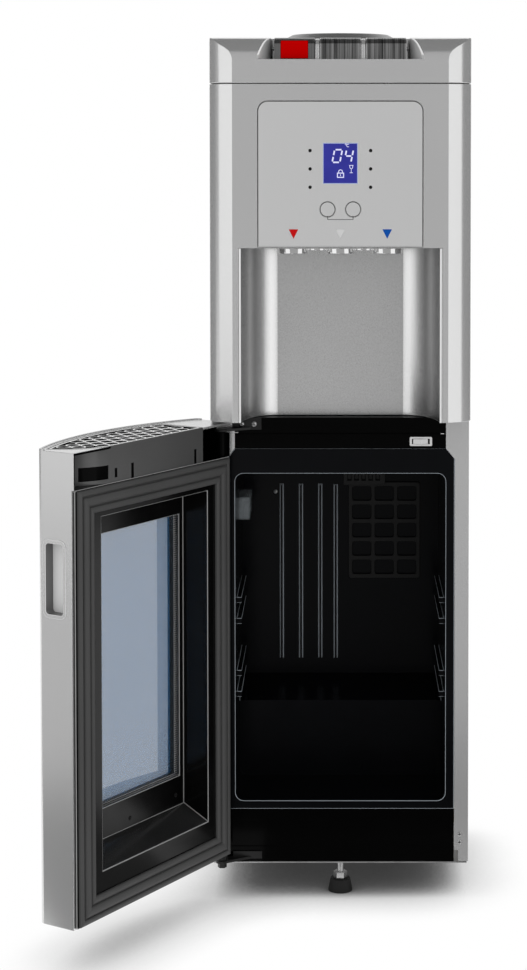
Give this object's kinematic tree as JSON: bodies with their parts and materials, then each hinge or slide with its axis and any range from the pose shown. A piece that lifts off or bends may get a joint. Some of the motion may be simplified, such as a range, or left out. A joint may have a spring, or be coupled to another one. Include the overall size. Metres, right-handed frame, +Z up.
{
  "type": "water cooler",
  "caption": "Free-standing top-loading water cooler with push-button taps over an alcove and a chilled cabinet behind a bow-front window door with a drip tray in its top.",
  "frame": {"origin": "on the floor, under the middle of the front levelling foot", "axes": "+Z up, -Y towards the user, +X to the user's right"},
  "size_m": [0.4842, 0.5357, 1.0528],
  "materials": {
    "silver_plastic": "satin",
    "alcove_plastic": "satin",
    "silver_steel": "satin",
    "grey_steel": "matte",
    "black_gloss": "gloss",
    "dark_plastic": "matte",
    "black_steel": "satin",
    "black_rubber": "matte",
    "gasket_rubber": "matte",
    "bright_steel": "polished",
    "tank_steel": "satin",
    "chrome_plate": "polished",
    "plated_plastic": "polished",
    "dark_plated_plastic": "polished",
    "red_plastic": "gloss",
    "green_plastic": "gloss",
    "marker_plastic": "satin",
    "key_plastic": "satin",
    "display": "gloss",
    "lens": "gloss",
    "board": "satin",
    "white_plastic": "satin",
    "clear_plastic": "gloss",
    "hose": "satin",
    "foam": "matte",
    "eps_foam": "matte",
    "tinted_glass": "polished",
    "spacer_aluminium": "satin"
  },
  "bodies": {
    "cabinet": {"alcove_liner": "alcove_plastic", "base_pan": "grey_steel", "bottom_hinge_bracket": "black_steel", "button_pivot_rod": "bright_steel", "cold_tank": "tank_steel", "compressor": "black_steel", "compressor_grommets": "black_rubber", "condenser": "black_steel", "control_board": "board", "control_panel": "silver_plastic", "cord_gland": "black_rubber", "display_window": "display", "drain_plug": "white_plastic", "evaporator_cover": "black_gloss", "fan_housing": "black_gloss", "fascia": "black_gloss", "foot_stem": "bright_steel", "fridge_liner": "black_gloss", "front_foot": "black_rubber", "front_housing": "silver_plastic", "hinge_screws": "bright_steel", "hot_tank": "tank_steel", "indicator_lenses": "lens", "insulation_foam": "foam", "kick_plate": "black_gloss", "lamp_cover": "clear_plastic", "left_side_panel": "silver_steel", "rear_feet": "black_rubber", "rear_panel": "grey_steel", "right_side_panel": "silver_steel", "spout_shroud": "chrome_plate", "switch_bezel": "white_plastic", "tank_insulation": "eps_foam", "tap_bodies": "white_plastic", "tap_markers": "marker_plastic", "top_cover": "silver_plastic", "top_hinge_bracket": "black_steel", "water_hoses": "hose"},
    "door": {"door_frame": "silver_plastic", "door_inner_panel": "black_gloss", "door_gasket": "gasket_rubber", "outer_glass": "tinted_glass", "inner_glass": "tinted_glass", "glass_spacer": "spacer_aluminium", "handle_cup": "silver_plastic"},
    "drip_tray": {"drip_tray": "dark_plastic"},
    "drip_grille": {"drip_grille": "chrome_plate"},
    "hot_button": {"hot_button": "plated_plastic"},
    "hot_safety": {"hot_safety": "red_plastic"},
    "room_button": {"room_button": "dark_plated_plastic"},
    "cold_button": {"cold_button": "dark_plated_plastic"},
    "hot_push_rod": {"hot_push_rod": "white_plastic"},
    "room_push_rod": {"room_push_rod": "white_plastic"},
    "cold_push_rod": {"cold_push_rod": "white_plastic"},
    "select_key": {"select_key": "key_plastic"},
    "custom_key": {"custom_key": "key_plastic"},
    "light_rocker": {"light_rocker": "white_plastic"},
    "hot_switch": {"hot_switch": "red_plastic"},
    "cold_switch": {"cold_switch": "green_plastic"},
    "bottle_guard": {"bottle_guard": "silver_plastic"}
  },
  "joints": [
    {"name": "door_hinge", "type": "hinge", "parent": "cabinet", "child": "door", "pos_m": [-0.1425, -0.046, 0.3], "axis": [0, 0, -1], "range_deg": [-122, 0]},
    {"name": "drip_tray_lift", "type": "slide", "parent": "door", "child": "drip_tray", "axis": [0, 0, 1], "range_m": [0, 0.06]},
    {"name": "drip_grille_lift", "type": "slide", "parent": "drip_tray", "child": "drip_grille", "axis": [0, 0, 1], "range_m": [0, 0.03]},
    {"name": "hot_button_press", "type": "hinge", "parent": "cabinet", "child": "hot_button", "pos_m": [-0.054, -0.04, 1.03], "axis": [1, 0, 0], "range_deg": [0, 7], "stiffness_Nm_per_rad": 2.4, "springref_deg": -5.73},
    {"name": "hot_push_rod_slide", "type": "slide", "parent": "cabinet", "child": "hot_push_rod", "axis": [0, 0, -1], "range_m": [0, 0.0032]},
    {"name": "room_button_press", "type": "hinge", "parent": "cabinet", "child": "room_button", "pos_m": [0, -0.04, 1.03], "axis": [1, 0, 0], "range_deg": [0, 7], "stiffness_Nm_per_rad": 2.4, "springref_deg": -5.73},
    {"name": "room_push_rod_slide", "type": "slide", "parent": "cabinet", "child": "room_push_rod", "axis": [0, 0, -1], "range_m": [0, 0.0032]},
    {"name": "cold_button_press", "type": "hinge", "parent": "cabinet", "child": "cold_button", "pos_m": [0.054, -0.04, 1.03], "axis": [1, 0, 0], "range_deg": [0, 7], "stiffness_Nm_per_rad": 2.4, "springref_deg": -5.73},
    {"name": "cold_push_rod_slide", "type": "slide", "parent": "cabinet", "child": "cold_push_rod", "axis": [0, 0, -1], "range_m": [0, 0.0032]},
    {"name": "hot_safety_push", "type": "slide", "parent": "hot_button", "child": "hot_safety", "axis": [0, 1, 0], "range_m": [0, 0.0025], "stiffness_N_per_m": 300, "springref_m": -0.001},
    {"name": "select_key_press", "type": "slide", "parent": "cabinet", "child": "select_key", "axis": [0, 1, 0], "range_m": [0, 0.0008], "stiffness_N_per_m": 400, "springref_m": -0.0005},
    {"name": "custom_key_press", "type": "slide", "parent": "cabinet", "child": "custom_key", "axis": [0, 1, 0], "range_m": [0, 0.0008], "stiffness_N_per_m": 400, "springref_m": -0.0005},
    {"name": "light_rocker_tilt", "type": "hinge", "parent": "cabinet", "child": "light_rocker", "pos_m": [0.097, -0.027, 0.5585], "axis": [0, 0, -1], "range_deg": [0, 8]},
    {"name": "hot_switch_tilt", "type": "hinge", "parent": "cabinet", "child": "hot_switch", "pos_m": [0.07, 0.22, 0.928], "axis": [-1, 0, 0], "range_deg": [0, 9]},
    {"name": "cold_switch_tilt", "type": "hinge", "parent": "cabinet", "child": "cold_switch", "pos_m": [0.096, 0.22, 0.928], "axis": [-1, 0, 0], "range_deg": [0, 9]},
    {"name": "bottle_guard_lift", "type": "slide", "parent": "cabinet", "child": "bottle_guard", "axis": [0, 0, 1], "range_m": [0, 0.06]}
  ],
  "couplings": [
    {"joint": "hot_push_rod_slide", "follows": "hot_button_press", "m_per_rad": 0.0245},
    {"joint": "room_push_rod_slide", "follows": "room_button_press", "m_per_rad": 0.0245},
    {"joint": "cold_push_rod_slide", "follows": "cold_button_press", "m_per_rad": 0.0245}
  ]
}
